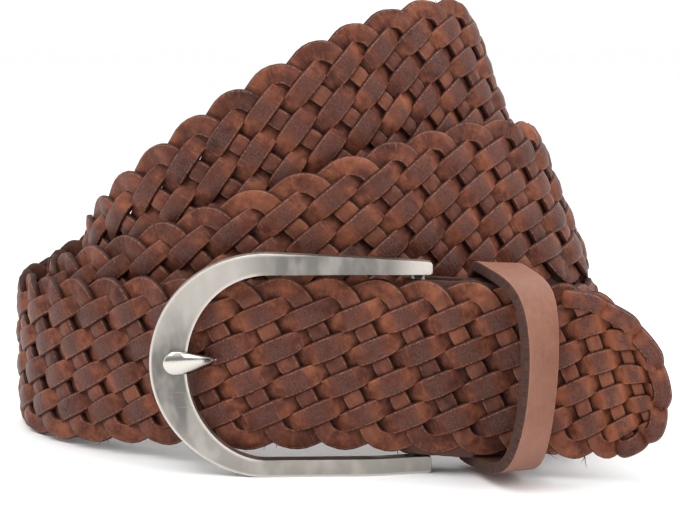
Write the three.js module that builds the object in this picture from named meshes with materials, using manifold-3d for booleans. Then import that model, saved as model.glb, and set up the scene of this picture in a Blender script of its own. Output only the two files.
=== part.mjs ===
import * as THREE from 'three';
import Module from 'manifold-3d';
import { mergeVertices } from 'three/addons/utils/BufferGeometryUtils.js';

// A braided leather belt, buckled and coiled on its edge in three nested turns.
// Millimetres, +Z up, the tail and the buckle face -Y.

const wasm = await Module();
wasm.setup();

// Strap
const strapWidth = 35;
const strapThickness = 3.4;
const strapEdge = 1.0;
const stationStep = 4;
const tipLength = 19;

// Coil: the reach of the outermost turn, and the free space between turns
const coilLength = 140;
const coilDepth = 100;
const turnGap = 0.6;

// Buckle: a horseshoe frame with a round hinge bar across its open end
const bowReach = 24.8;
const openingRoom = 4.2;
const bowWall = 7.8;
const armWall = 3.2;
const armLength = 34.6;
const armTaper = 1.8;
const armStub = 1.4;
const bowRoom = 4.5;
const frameThickness = 3.4;
const frameBevel = 0.5;
const barRadius = 1.5;
const barSetback = 3.4;
const barBite = 1;
const bowOpeningReach = bowReach - bowWall;
const openingHeight = strapWidth + openingRoom;
const bowHeight = openingHeight + armTaper + 2 * armWall;
const openingFloor = armWall + armTaper / 4;
const bowMiddle = openingFloor + openingHeight / 2;

// Prong
const prongWidth = 5.2;
const prongThickness = 2.2;
const prongOverhang = 4.6;
const prongRise = 2.4;
const eyeWall = 1.1;
const prongLift = 0.95;
const prongHeight = bowMiddle + prongLift;
const prongTipShare = 0.12;

// Leather tab folded round the hinge bar
const tabOverlap = 2;
const tabWidth = strapWidth + tabOverlap;
const tabThickness = 1.3;
const tabLength = 20;
const tabSlot = 6.6;
const tabSlotDeep = 3;
const tabFit = 0.45;

// Keeper loop
const keeperWidth = 10;
const keeperThickness = 2.4;
const keeperRoom = 7;
const keeperHeight = tabWidth + keeperRoom;
const keeperDepth = 23.2;
const keeperPlace = 11.5;
const keeperLift = 0.5;
const keeperSlack = 1.9;

// Clearance between pieces that touch on the real belt
const fit = 0.3;

const colours = { leather: 0x7d4632, tab: 0x5b362b, keeper: 0xa5705c, nickel: 0xb9b4ad, polished: 0xd2cfca };

const finish = (color, roughness, metalness) => new THREE.MeshStandardMaterial({ color, roughness, metalness });

// The strap's middle line from the tip of the tail to the buckle, a row each tenth of a turn or finer.
// along and depth are shares of coilLength and coilDepth, rise is a share of strapWidth, lean is how far
// the top edge leans into the coil in degrees, and inside is how many turns lie outside that row.
const route = [
  { along: 0.49, depth: -0.535, rise: 0.66, lean: 0, inside: 0 },
  { along: 0.4, depth: -0.525, rise: 0.665, lean: 0, inside: 0 },
  { along: 0.295, depth: -0.505, rise: 0.665, lean: 0, inside: 0 },
  { along: 0.155, depth: -0.47, rise: 0.665, lean: 0, inside: 0 },
  { along: 0.015, depth: -0.435, rise: 0.665, lean: 0, inside: 0 },
  { along: -0.12, depth: -0.4, rise: 0.66, lean: 0, inside: 0 },
  { along: -0.245, depth: -0.35, rise: 0.645, lean: 0, inside: 0 },
  { along: -0.35, depth: -0.275, rise: 0.6, lean: 0, inside: 0 },
  { along: -0.445, depth: -0.175, rise: 0.55, lean: 0, inside: 0 },
  { along: -0.515, depth: -0.04, rise: 0.525, lean: 0, inside: 0 },
  { along: -0.535, depth: 0.1, rise: 0.51, lean: 0, inside: 0 },
  { along: -0.505, depth: 0.26, rise: 0.53, lean: 0, inside: 0 },
  { along: -0.415, depth: 0.385, rise: 0.6, lean: 0, inside: 0 },
  { along: -0.285, depth: 0.455, rise: 0.73, lean: 1, inside: 0 },
  { along: -0.145, depth: 0.48, rise: 0.885, lean: 3, inside: 0 },
  { along: -0.005, depth: 0.47, rise: 1.055, lean: 7, inside: 0 },
  { along: 0.13, depth: 0.425, rise: 1.23, lean: 12, inside: 0 },
  { along: 0.245, depth: 0.345, rise: 1.39, lean: 17, inside: 0 },
  { along: 0.32, depth: 0.23, rise: 1.515, lean: 21, inside: 0 },
  { along: 0.36, depth: 0.09, rise: 1.58, lean: 23, inside: 0 },
  { along: 0.36, depth: -0.05, rise: 1.61, lean: 22, inside: 0 },
  { along: 0.325, depth: -0.16, rise: 1.615, lean: 19, inside: 0.2 },
  { along: 0.26, depth: -0.25, rise: 1.6, lean: 15, inside: 0.6 },
  { along: 0.175, depth: -0.33, rise: 1.535, lean: 9, inside: 1 },
  { along: 0.075, depth: -0.38, rise: 1.43, lean: 6, inside: 1 },
  { along: -0.03, depth: -0.4, rise: 1.29, lean: 5, inside: 1 },
  { along: -0.135, depth: -0.385, rise: 1.16, lean: 3, inside: 1 },
  { along: -0.23, depth: -0.34, rise: 1.01, lean: 2, inside: 1 },
  { along: -0.325, depth: -0.275, rise: 0.87, lean: 1, inside: 1 },
  { along: -0.41, depth: -0.18, rise: 0.745, lean: 0, inside: 1 },
  { along: -0.48, depth: -0.07, rise: 0.645, lean: 0, inside: 1 },
  { along: -0.52, depth: 0.055, rise: 0.605, lean: 0, inside: 1 },
  { along: -0.495, depth: 0.21, rise: 0.65, lean: 0, inside: 1 },
  { along: -0.415, depth: 0.33, rise: 0.75, lean: 0, inside: 1 },
  { along: -0.3, depth: 0.415, rise: 0.915, lean: 2, inside: 1 },
  { along: -0.175, depth: 0.45, rise: 1.105, lean: 6, inside: 1 },
  { along: -0.04, depth: 0.44, rise: 1.33, lean: 10, inside: 1 },
  { along: 0.085, depth: 0.385, rise: 1.55, lean: 15, inside: 1 },
  { along: 0.185, depth: 0.3, rise: 1.79, lean: 19, inside: 1 },
  { along: 0.255, depth: 0.185, rise: 2.01, lean: 22, inside: 1 },
  { along: 0.285, depth: 0.055, rise: 2.2, lean: 23, inside: 1 },
  { along: 0.275, depth: -0.075, rise: 2.32, lean: 22, inside: 1.2 },
  { along: 0.235, depth: -0.18, rise: 2.355, lean: 18, inside: 1.6 },
  { along: 0.17, depth: -0.265, rise: 2.325, lean: 13, inside: 2 },
  { along: 0.09, depth: -0.32, rise: 2.225, lean: 8, inside: 2 },
  { along: -0.01, depth: -0.355, rise: 2.05, lean: 5, inside: 2 },
  { along: -0.11, depth: -0.36, rise: 1.84, lean: 3, inside: 2 },
  { along: -0.21, depth: -0.33, rise: 1.61, lean: 2, inside: 2 },
  { along: -0.3, depth: -0.27, rise: 1.37, lean: 1, inside: 2 },
  { along: -0.38, depth: -0.185, rise: 1.15, lean: 0, inside: 2 },
  { along: -0.44, depth: -0.075, rise: 0.95, lean: 0, inside: 2 },
  { along: -0.48, depth: 0.055, rise: 0.82, lean: 0, inside: 2 },
  { along: -0.455, depth: 0.21, rise: 0.735, lean: 0, inside: 2 },
  { along: -0.375, depth: 0.33, rise: 0.68, lean: 0, inside: 2 },
  { along: -0.265, depth: 0.405, rise: 0.63, lean: 0, inside: 2 },
  { along: -0.135, depth: 0.435, rise: 0.575, lean: 0, inside: 2 },
  { along: 0.02, depth: 0.435, rise: 0.545, lean: 0, inside: 2 },
  { along: 0.17, depth: 0.39, rise: 0.52, lean: 0, inside: 1.6 },
  { along: 0.29, depth: 0.295, rise: 0.51, lean: 0, inside: 0.9 },
  { along: 0.375, depth: 0.16, rise: 0.507, lean: 0, inside: 0.3 },
  { along: 0.41, depth: 0, rise: 0.51, lean: 0, inside: 0 },
  { along: 0.41, depth: -0.17, rise: 0.525, lean: 0, inside: 0 },
  { along: 0.375, depth: -0.335, rise: 0.57, lean: 0, inside: 0.4 },
  { along: 0.3, depth: -0.46, rise: 0.625, lean: 0, inside: 1 },
  { along: 0.205, depth: -0.47, rise: 0.65, lean: 0, inside: 1 },
  { along: 0.135, depth: -0.45, rise: 0.655, lean: 0, inside: 1 },
];

// Rounded tip: distance from the end as a share of tipLength, half widths as shares of half strapWidth.
const tipOutline = [
  { back: 0, upper: 0.12, lower: 0.28 },
  { back: 0.05, upper: 0.3, lower: 0.55 },
  { back: 0.13, upper: 0.43, lower: 0.7 },
  { back: 0.25, upper: 0.57, lower: 0.82 },
  { back: 0.4, upper: 0.71, lower: 0.92 },
  { back: 0.6, upper: 0.84, lower: 0.98 },
  { back: 0.8, upper: 0.93, lower: 1 },
  { back: 1, upper: 1, lower: 1 },
];

// The prong's way from the hinge bar to the bow: reach is a share of that distance, and behind is how far
// it lies behind the tail's middle, as a share of the way to where it clears the strap.
const prongRun = [
  { reach: 0.16, behind: 1 },
  { reach: 0.3, behind: 1 },
  { reach: 0.45, behind: 0.85 },
  { reach: 0.56, behind: 0.3 },
  { reach: 0.66, behind: 0 },
  { reach: 0.76, behind: -0.1 },
  { reach: 0.86, behind: -0.8 },
];

// The keeper's middle line, a closed loop from the middle of its back over the top edge of the strap and
// round its front. out is a share of keeperDepth, up of half keeperHeight, push is how far the loop is
// pushed along the strap as a share of keeperWidth, and turn is how far its width is turned, in degrees.
const keeperLoop = [
  { out: 0, up: 0, push: -0.05, turn: 0 },
  { out: 0, up: 0.5, push: -0.05, turn: 0 },
  { out: 0, up: 0.88, push: -0.03, turn: 3 },
  { out: 0.1, up: 1.02, push: 0.08, turn: 10 },
  { out: 0.34, up: 1.02, push: 0.32, turn: 22 },
  { out: 0.66, up: 1.03, push: 0.66, turn: 34 },
  { out: 0.96, up: 0.91, push: 0.95, turn: 40 },
  { out: 1.02, up: 0.5, push: 1.13, turn: 47 },
  { out: 1.02, up: 0, push: 1.18, turn: 48 },
  { out: 1.02, up: -0.5, push: 1.13, turn: 47 },
  { out: 0.96, up: -0.91, push: 0.95, turn: 40 },
  { out: 0.66, up: -1.03, push: 0.66, turn: 34 },
  { out: 0.34, up: -1.02, push: 0.32, turn: 22 },
  { out: 0.1, up: -1.02, push: 0.08, turn: 10 },
  { out: 0, up: -0.88, push: -0.03, turn: 3 },
  { out: 0, up: -0.5, push: -0.05, turn: 0 },
];

// Cubic B-spline through rows of numbers, each given as an array.
function splineRows(rows, steps, closed) {
  const last = rows.length - 1;
  const row = (i) => rows[closed ? (i + rows.length) % rows.length : THREE.MathUtils.clamp(i, 0, last)];
  const spans = closed ? rows.length : last + 2;
  const points = [];
  for (let i = 0; i < spans * steps + (closed ? 0 : 1); i += 1) {
    const span = Math.min(Math.floor(i / steps), spans - 1);
    const t = i / steps - span;
    const weights = [(1 - t) ** 3, 3 * t ** 3 - 6 * t ** 2 + 4, -3 * t ** 3 + 3 * t ** 2 + 3 * t + 1, t ** 3];
    const first = closed ? span - 1 : span - 2;
    points.push(rows[0].map((_, k) => weights.reduce((sum, w, j) => sum + w * row(first + j)[k], 0) / 6));
  }
  return points;
}

// Frames along the strap: place, direction of travel, across (up the strap's width) and out of the coil.
function strapFrames() {
  const turnPitch = strapThickness + turnGap;
  const outer = route.map((r) => new THREE.Vector2(r.along * coilLength, r.depth * coilDepth));
  const rows = route.map((r, i) => {
    const ahead = outer[Math.min(i + 1, outer.length - 1)].clone().sub(outer[Math.max(i - 1, 0)]).normalize();
    const inset = r.inside * turnPitch;
    return [outer[i].x + ahead.y * inset, outer[i].y - ahead.x * inset, r.rise * strapWidth, r.lean];
  });
  const samples = splineRows(rows, 10, false).map((p) => ({
    place: new THREE.Vector3(p[0], p[1], p[2]),
    lean: THREE.MathUtils.degToRad(p[3]),
  }));
  let reached = 0;
  samples.forEach((sample, i) => {
    const before = samples[Math.max(i - 1, 0)].place;
    const after = samples[Math.min(i + 1, samples.length - 1)].place;
    reached += i ? sample.place.distanceTo(before) : 0;
    sample.at = reached;
    sample.travel = after.clone().sub(before).normalize();
    const inward = sample.travel.clone().cross(new THREE.Vector3(0, 0, 1)).normalize();
    const upright = inward.clone().cross(sample.travel);
    sample.across = upright.multiplyScalar(Math.cos(sample.lean)).addScaledVector(inward, Math.sin(sample.lean));
    sample.out = sample.across.clone().cross(sample.travel);
  });
  return samples;
}

const frames = strapFrames();
const strapLength = frames[frames.length - 1].at;
const stationCount = Math.ceil((strapLength - tipLength) / stationStep);
const stationPitch = (strapLength - tipLength) / stationCount;

// The tail's middle line where it passes a place along X, in front of the coil.
const tailAt = (x) => frames.find((f) => f.place.x <= x).place;

function strapAt(at) {
  const wanted = THREE.MathUtils.clamp(at, 0, strapLength);
  const next = Math.max(1, frames.findIndex((f) => f.at >= wanted));
  const a = frames[next - 1];
  const b = frames[next];
  const share = (wanted - a.at) / (b.at - a.at);
  const mix = (key) => a[key].clone().lerp(b[key], share);
  const travel = mix('travel').normalize();
  const across = mix('across').normalize();
  return { place: mix('place'), travel, across, out: across.clone().cross(travel).normalize() };
}

function pointFrom(frame, out, across, along = 0) {
  return frame.place.clone()
    .addScaledVector(frame.out, out)
    .addScaledVector(frame.across, across)
    .addScaledVector(frame.travel, along);
}

// A closed body through rings of points that run counter-clockwise about the direction of travel.
function loft(rings, closed = false) {
  const sides = rings[0].length;
  const positions = rings.flat().flatMap((p) => [p.x, p.y, p.z]);
  const faces = [];
  const spans = closed ? rings.length : rings.length - 1;
  for (let i = 0; i < spans; i += 1) {
    const here = i * sides;
    const there = ((i + 1) % rings.length) * sides;
    for (let j = 0; j < sides; j += 1) {
      const k = (j + 1) % sides;
      faces.push(here + j, here + k, there + k, here + j, there + k, there + j);
    }
  }
  if (!closed) {
    const end = (rings.length - 1) * sides;
    for (let j = 1; j < sides - 1; j += 1) {
      faces.push(0, j + 1, j, end, end + j, end + j + 1);
    }
  }
  const geometry = new THREE.BufferGeometry();
  geometry.setAttribute('position', new THREE.Float32BufferAttribute(positions, 3));
  geometry.setIndex(faces);
  return geometry;
}

// An eight-sided leather section: flat faces with chamfered cut edges.
function stripSection(frame, thickness, upper, lower, edge) {
  const half = thickness / 2;
  const inner = half - Math.min(edge, half) * 0.6;
  const corners = [
    [half, -lower + edge], [half, upper - edge], [inner, upper], [-inner, upper],
    [-half, upper - edge], [-half, -lower + edge], [-inner, -lower], [inner, -lower],
  ];
  return corners.map(([out, across]) => pointFrom(frame, out, across));
}

function toSolid(geometry) {
  const bare = geometry.clone();
  bare.deleteAttribute('normal');
  bare.deleteAttribute('uv');
  const merged = mergeVertices(bare, 1e-4);
  return new wasm.Manifold(new wasm.Mesh({
    numProp: 3,
    vertProperties: new Float32Array(merged.attributes.position.array),
    triVerts: new Uint32Array(merged.index.array),
  }));
}

function toGeometry(solid) {
  const mesh = solid.getMesh();
  const geometry = new THREE.BufferGeometry();
  geometry.setAttribute('position', new THREE.BufferAttribute(new Float32Array(mesh.vertProperties), 3));
  geometry.setIndex(new THREE.BufferAttribute(new Uint32Array(mesh.triVerts), 1));
  return geometry;
}

function tipShares(back) {
  const next = tipOutline.findIndex((row) => row.back >= back);
  if (next < 0) return { upper: 1, lower: 1 };
  if (next === 0) return tipOutline[0];
  const a = tipOutline[next - 1];
  const b = tipOutline[next];
  const share = (back - a.back) / (b.back - a.back);
  return { upper: a.upper + share * (b.upper - a.upper), lower: a.lower + share * (b.lower - a.lower) };
}

// Hinge bar: it lies in line with the strap's buckle end, just past it.
const strapEnd = strapAt(strapLength);
const barPlace = pointFrom(strapEnd, 0, 0, barSetback);

// Buckle plane: u runs from the hinge bar to the bow, v is up, w faces the viewer.
const bowInner = armLength + bowOpeningReach - barRadius - armStub;
const tailAtBow = tailAt(barPlace.x - bowInner);
const bowCentre = new THREE.Vector3(
  tailAtBow.x, tailAtBow.y - strapThickness / 2 - bowRoom - frameThickness / 2, 0);
const buckleU = new THREE.Vector3(bowCentre.x - barPlace.x, bowCentre.y - barPlace.y, 0).normalize();
const buckleV = new THREE.Vector3(0, 0, 1);
const buckleW = buckleV.clone().cross(buckleU);

function bucklePoint(u, v, w) {
  return new THREE.Vector3(barPlace.x, barPlace.y, 0)
    .addScaledVector(buckleU, u)
    .addScaledVector(buckleV, v)
    .addScaledVector(buckleW, w);
}

function horseshoeOutline() {
  const armEnd = -(barRadius + armStub);
  const bowStart = armEnd + armLength;
  const middle = bowHeight / 2;
  const steps = 26;
  const outline = new THREE.Shape();
  const arc = (reach, height, centre, from, to) => {
    for (let i = 0; i <= steps; i += 1) {
      const angle = THREE.MathUtils.degToRad(from + (to - from) * (i / steps));
      outline.lineTo(bowStart + reach * Math.cos(angle), centre + height * Math.sin(angle));
    }
  };
  outline.moveTo(armEnd, 0);
  arc(bowReach, middle, middle, -90, 90);
  outline.lineTo(armEnd, bowHeight - armTaper);
  outline.lineTo(armEnd, openingFloor + openingHeight);
  arc(bowOpeningReach, openingHeight / 2, bowMiddle, 90, -90);
  outline.lineTo(armEnd, openingFloor);
  outline.closePath();
  return outline;
}

function placeInBuckle(geometry) {
  const basis = new THREE.Matrix4().makeBasis(buckleU, buckleV, buckleW.clone().negate());
  basis.setPosition(barPlace.x, barPlace.y, 0);
  return geometry.applyMatrix4(basis);
}

function buckleFrame() {
  const body = new THREE.ExtrudeGeometry(horseshoeOutline(), {
    depth: frameThickness - 2 * frameBevel,
    bevelThickness: frameBevel,
    bevelSize: frameBevel * 0.6,
    bevelOffset: -frameBevel * 0.6,
    bevelSegments: 1,
    curveSegments: 1,
  });
  body.translate(0, 0, frameBevel - frameThickness / 2);
  const bar = new THREE.CylinderGeometry(barRadius, barRadius, openingHeight + 2 * barBite, 16);
  bar.translate(0, bowMiddle, 0);
  return toGeometry(toSolid(placeInBuckle(body)).add(toSolid(placeInBuckle(bar))));
}

// The prong's middle line in the buckle plane: behind the tail at the bar, through it, then over the bow.
function prongLine() {
  const clear = strapThickness / 2 + fit + prongThickness / 2;
  const bowTop = frameThickness / 2 + fit + prongThickness / 2;
  const tailW = (u, shift) => {
    const place = bucklePoint(u, 0, 0);
    return (tailAt(place.x).y + shift - place.y) / buckleW.y;
  };
  const rows = [
    [barRadius + fit + eyeWall / 2, tailW(4, clear) * 0.3],
    ...prongRun.map((r) => [r.reach * bowInner, tailW(r.reach * bowInner, r.behind * clear)]),
    [bowInner - prongRise, bowTop + fit],
    [bowInner + prongOverhang, bowTop],
  ];
  return splineRows(rows, 4, false);
}

// A flat oval bar round a line in the buckle plane, with a blunt rounded end.
function prongSolid(line, width, thickness) {
  const sides = 12;
  const rings = line.map(([u, w], i) => {
    const before = line[Math.max(i - 1, 0)];
    const after = line[Math.min(i + 1, line.length - 1)];
    const run = new THREE.Vector2(after[0] - before[0], after[1] - before[1]).normalize();
    const left = line[line.length - 1][0] - u;
    const round = Math.sqrt(Math.max(prongTipShare, 1 - Math.max(0, 1 - left / (width / 2)) ** 2));
    const ring = [];
    for (let j = 0; j < sides; j += 1) {
      const angle = (2 * Math.PI * j) / sides;
      const lift = (thickness / 2) * round * Math.cos(angle);
      ring.push(bucklePoint(u - run.y * lift, prongHeight + (width / 2) * round * Math.sin(angle), w + run.x * lift));
    }
    return ring;
  });
  return toSolid(loft(rings));
}

function eyeRing(inner, outer, height) {
  const profile = [[inner, -height / 2], [outer, -height / 2], [outer, height / 2], [inner, height / 2]];
  const points = [...profile, profile[0]].map(([r, z]) => new THREE.Vector2(r, z));
  const ring = new THREE.LatheGeometry(points, 20);
  ring.translate(0, prongHeight, 0);
  return placeInBuckle(ring);
}

function bucklePin() {
  const eye = toSolid(eyeRing(barRadius + fit, barRadius + fit + eyeWall, prongWidth));
  return toGeometry(prongSolid(prongLine(), prongWidth, prongThickness).add(eye));
}

function braidedStrap() {
  const half = strapWidth / 2;
  const stops = tipOutline.map((row) => row.back * tipLength);
  for (let i = 1; i <= stationCount; i += 1) stops.push(tipLength + stationPitch * i);
  const rings = stops.map((at) => {
    const shares = tipShares(at / tipLength);
    const edge = strapEdge * Math.min(1, shares.upper * 2);
    return stripSection(strapAt(at), strapThickness, half * shares.upper, half * shares.lower, edge);
  });
  const hole = prongSolid(prongLine(), prongWidth + 2 * fit, prongThickness + 2 * fit);
  return toGeometry(toSolid(loft(rings)).subtract(hole));
}

// Plain leather strip: along the front of the strap's end, round the hinge bar and back behind it.
function buckleTab() {
  const plyOut = strapThickness / 2 + tabFit + tabThickness / 2;
  const turns = 8;
  const plySteps = Math.round(tabLength / stationPitch);
  const rings = [];
  const section = (frame, out) => stripSection(
    { ...frame, place: pointFrom(frame, out, 0) }, tabThickness, tabWidth / 2, tabWidth / 2, tabThickness / 4);
  for (let i = 0; i < plySteps; i += 1) {
    rings.push(section(strapAt(strapLength - stationPitch * (plySteps - i)), plyOut));
  }
  const bar = { ...strapEnd, place: barPlace };
  for (let i = 0; i <= turns; i += 1) {
    const angle = Math.PI * (i / turns);
    const out = strapEnd.out.clone().multiplyScalar(Math.cos(angle)).addScaledVector(strapEnd.travel, Math.sin(angle));
    const travel = out.clone().cross(strapEnd.across);
    rings.push(section({ ...bar, out, travel }, plyOut));
  }
  for (let i = plySteps - 1; i >= 0; i -= 1) {
    const { place, travel, across, out } = strapAt(strapLength - stationPitch * (plySteps - i));
    rings.push(section({ place, travel: travel.negate(), across, out: out.negate() }, plyOut));
  }
  const slotReach = 2 * (plyOut + tabThickness);
  const slot = new THREE.BoxGeometry(slotReach + tabSlotDeep, tabSlot, slotReach);
  slot.translate(tabSlotDeep / 2, prongHeight, 0);
  return toGeometry(toSolid(loft(rings)).subtract(toSolid(placeInBuckle(slot))));
}

function keeper() {
  const frame = strapAt(strapLength - keeperPlace);
  const backOut = -(strapThickness / 2 + tabFit + tabThickness + keeperSlack + keeperThickness / 2);
  const rows = keeperLoop.map((r) => [
    backOut + r.out * keeperDepth, keeperLift + (r.up * (keeperHeight - keeperThickness)) / 2, -r.push * keeperWidth, r.turn]);
  const line = splineRows(rows, 3, true).map(([out, across, along, turn]) => ({
    place: pointFrom(frame, out, across, along),
    turn: THREE.MathUtils.degToRad(turn),
  }));
  const rings = line.map((here, i) => {
    const before = line[(i + line.length - 1) % line.length].place;
    const after = line[(i + 1) % line.length].place;
    const travel = after.clone().sub(before).normalize();
    const wide = frame.travel.clone().multiplyScalar(-Math.cos(here.turn)).addScaledVector(frame.out, -Math.sin(here.turn));
    wide.addScaledVector(travel, -wide.dot(travel)).normalize();
    const out = travel.clone().cross(wide).normalize();
    const ring = stripSection({ place: here.place, travel, across: wide, out }, keeperThickness,
      keeperWidth / 2, keeperWidth / 2, keeperThickness / 6);
    return ring.reverse();
  });
  return loft(rings, true);
}

const belt = new THREE.Group();

function addPiece(name, geometry, material) {
  const piece = new THREE.Mesh(geometry, material);
  piece.name = name;
  belt.add(piece);
}

addPiece('braided_strap', braidedStrap(), finish(colours.leather, 0.6, 0));
addPiece('buckle_frame', buckleFrame(), finish(colours.nickel, 0.35, 1));
addPiece('buckle_pin', bucklePin(), finish(colours.polished, 0.2, 1));
addPiece('buckle_tab', buckleTab(), finish(colours.tab, 0.7, 0));
addPiece('keeper_loop', keeper(), finish(colours.keeper, 0.65, 0));

// The origin is the middle of the belt's footprint, on the surface it stands on.
const bounds = new THREE.Box3().setFromObject(belt);
belt.position.set(-(bounds.min.x + bounds.max.x) / 2, -(bounds.min.y + bounds.max.y) / 2, -bounds.min.z);

export default belt;
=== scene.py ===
# A braided leather belt, buckled and coiled on its edge. Shapes are worked out in millimetres.
import math
import random

import bmesh
import bpy
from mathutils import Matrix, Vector


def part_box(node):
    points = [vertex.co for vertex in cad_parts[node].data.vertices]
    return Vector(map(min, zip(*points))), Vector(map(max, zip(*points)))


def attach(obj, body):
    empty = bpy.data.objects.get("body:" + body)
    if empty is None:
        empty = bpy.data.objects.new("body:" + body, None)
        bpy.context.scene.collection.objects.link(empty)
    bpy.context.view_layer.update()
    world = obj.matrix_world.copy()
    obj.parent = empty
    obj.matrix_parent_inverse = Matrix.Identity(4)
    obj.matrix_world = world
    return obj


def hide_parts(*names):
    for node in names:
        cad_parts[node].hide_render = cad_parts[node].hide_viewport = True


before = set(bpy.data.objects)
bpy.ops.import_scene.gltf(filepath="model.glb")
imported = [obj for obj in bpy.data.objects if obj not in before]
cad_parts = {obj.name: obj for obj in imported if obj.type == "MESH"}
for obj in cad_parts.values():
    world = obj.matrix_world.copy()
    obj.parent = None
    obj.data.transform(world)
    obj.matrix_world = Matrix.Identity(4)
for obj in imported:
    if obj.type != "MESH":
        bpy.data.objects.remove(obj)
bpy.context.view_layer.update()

millimetre = 0.001
up = Vector((0, 0, 1))

belt = {
    "width": 35.0, "thickness": 3.4, "coilLength": 140.0, "coilDepth": 100.0, "turnGap": 0.6,
    "samplesPerRow": 10, "tipSamples": 20,
}

# The belt's middle line from the tip of its tail to the buckle: place along and behind the front as shares
# of the coil's length and depth, height as a share of the width, lean in degrees, turns lying outside.
routeRows = [
    (0.49, -0.535, 0.66, 0, 0), (0.4, -0.525, 0.665, 0, 0), (0.295, -0.505, 0.665, 0, 0),
    (0.155, -0.47, 0.665, 0, 0), (0.015, -0.435, 0.665, 0, 0), (-0.12, -0.4, 0.66, 0, 0),
    (-0.245, -0.35, 0.645, 0, 0), (-0.35, -0.275, 0.6, 0, 0), (-0.445, -0.175, 0.55, 0, 0),
    (-0.515, -0.04, 0.525, 0, 0), (-0.535, 0.1, 0.51, 0, 0), (-0.505, 0.26, 0.53, 0, 0),
    (-0.415, 0.385, 0.6, 0, 0), (-0.285, 0.455, 0.73, 1, 0), (-0.145, 0.48, 0.885, 3, 0),
    (-0.005, 0.47, 1.055, 7, 0), (0.13, 0.425, 1.23, 12, 0), (0.245, 0.345, 1.39, 17, 0),
    (0.32, 0.23, 1.49, 21, 0), (0.36, 0.09, 1.53, 23, 0), (0.36, -0.05, 1.55, 22, 0),
    (0.325, -0.16, 1.57, 19, 0.2), (0.26, -0.25, 1.6, 15, 0.6), (0.175, -0.33, 1.535, 9, 1),
    (0.075, -0.38, 1.43, 6, 1), (-0.03, -0.4, 1.29, 5, 1), (-0.135, -0.385, 1.16, 3, 1),
    (-0.23, -0.34, 1.01, 2, 1), (-0.325, -0.275, 0.87, 1, 1), (-0.41, -0.18, 0.745, 0, 1),
    (-0.48, -0.07, 0.645, 0, 1), (-0.52, 0.055, 0.605, 0, 1), (-0.495, 0.21, 0.65, 0, 1),
    (-0.415, 0.33, 0.75, 0, 1), (-0.3, 0.415, 0.915, 2, 1), (-0.175, 0.45, 1.105, 6, 1),
    (-0.04, 0.44, 1.33, 10, 1), (0.085, 0.385, 1.55, 15, 1), (0.185, 0.3, 1.79, 19, 1),
    (0.255, 0.185, 2.01, 22, 1), (0.285, 0.055, 2.2, 23, 1), (0.275, -0.075, 2.32, 22, 1.2),
    (0.235, -0.18, 2.355, 18, 1.6), (0.17, -0.265, 2.325, 13, 2), (0.09, -0.32, 2.225, 8, 2),
    (-0.01, -0.355, 2.05, 5, 2), (-0.11, -0.36, 1.84, 3, 2), (-0.21, -0.33, 1.61, 2, 2),
    (-0.3, -0.27, 1.37, 1, 2), (-0.38, -0.185, 1.15, 0, 2), (-0.44, -0.075, 0.95, 0, 2),
    (-0.48, 0.055, 0.82, 0, 2), (-0.455, 0.21, 0.735, 0, 2), (-0.375, 0.33, 0.68, 0, 2),
    (-0.265, 0.405, 0.63, 0, 2), (-0.135, 0.435, 0.575, 0, 2), (0.02, 0.435, 0.545, 0, 2),
    (0.17, 0.39, 0.52, 0, 1.6), (0.29, 0.295, 0.51, 0, 0.9), (0.375, 0.16, 0.507, 0, 0.3),
    (0.41, 0, 0.51, 0, 0), (0.41, -0.17, 0.525, 0, 0), (0.375, -0.335, 0.57, 0, 0.4),
    (0.3, -0.46, 0.625, 0, 1), (0.205, -0.47, 0.65, 0, 1), (0.135, -0.45, 0.655, 0, 1),
]


def held(value, low=0.0, high=1.0):
    return min(max(value, low), high)


def circle(count):
    return [2 * math.pi * j / count for j in range(count)]


def signedPart(value, power):
    return math.copysign(abs(value) ** power, value)


# A smooth line drawn along a table's rows, with so many steps a row, ending on its first and last rows.
def splineRows(rows, steps, closed=False):
    last = len(rows) - 1
    spans = len(rows) if closed else last + 2

    def row(i):
        return rows[i % len(rows)] if closed else rows[held(i, 0, last)]

    points = []
    for i in range(spans * steps + (0 if closed else 1)):
        span = min(i // steps, spans - 1)
        t = i / steps - span
        weights = ((1 - t) ** 3, 3 * t ** 3 - 6 * t ** 2 + 4, -3 * t ** 3 + 3 * t ** 2 + 3 * t + 1, t ** 3)
        first = span - 1 if closed else span - 2
        near = [row(first + j) for j in range(4)]
        points.append([sum(w * r[k] for w, r in zip(weights, near)) / 6 for k in range(len(rows[0]))])
    return points


# The belt's frames: travel along it, across its width, and out from its outer face.
def beltFrames():
    outer = [Vector((r[0] * belt["coilLength"], r[1] * belt["coilDepth"])) for r in routeRows]
    rows = []
    for i, r in enumerate(routeRows):
        ahead = (outer[min(i + 1, len(outer) - 1)] - outer[max(i - 1, 0)]).normalized()
        inset = r[4] * (belt["thickness"] + belt["turnGap"])
        rows.append((outer[i].x + ahead.y * inset, outer[i].y - ahead.x * inset, r[2] * belt["width"], r[3]))
    samples = splineRows(rows, belt["samplesPerRow"])
    frames, reached = [], 0.0
    for i, s in enumerate(samples):
        place = Vector(s[:3])
        before, after = Vector(samples[max(i - 1, 0)][:3]), Vector(samples[min(i + 1, len(samples) - 1)][:3])
        reached += (place - before).length if i else 0.0
        travel = (after - before).normalized()
        inward = travel.cross(up).normalized()
        lean = math.radians(s[3])
        across = inward.cross(travel) * math.cos(lean) + inward * math.sin(lean)
        frames.append({"at": reached, "place": place, "travel": travel, "across": across,
                       "out": across.cross(travel).normalized()})
    return frames


frames = beltFrames()
beltLength = frames[-1]["at"]

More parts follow.
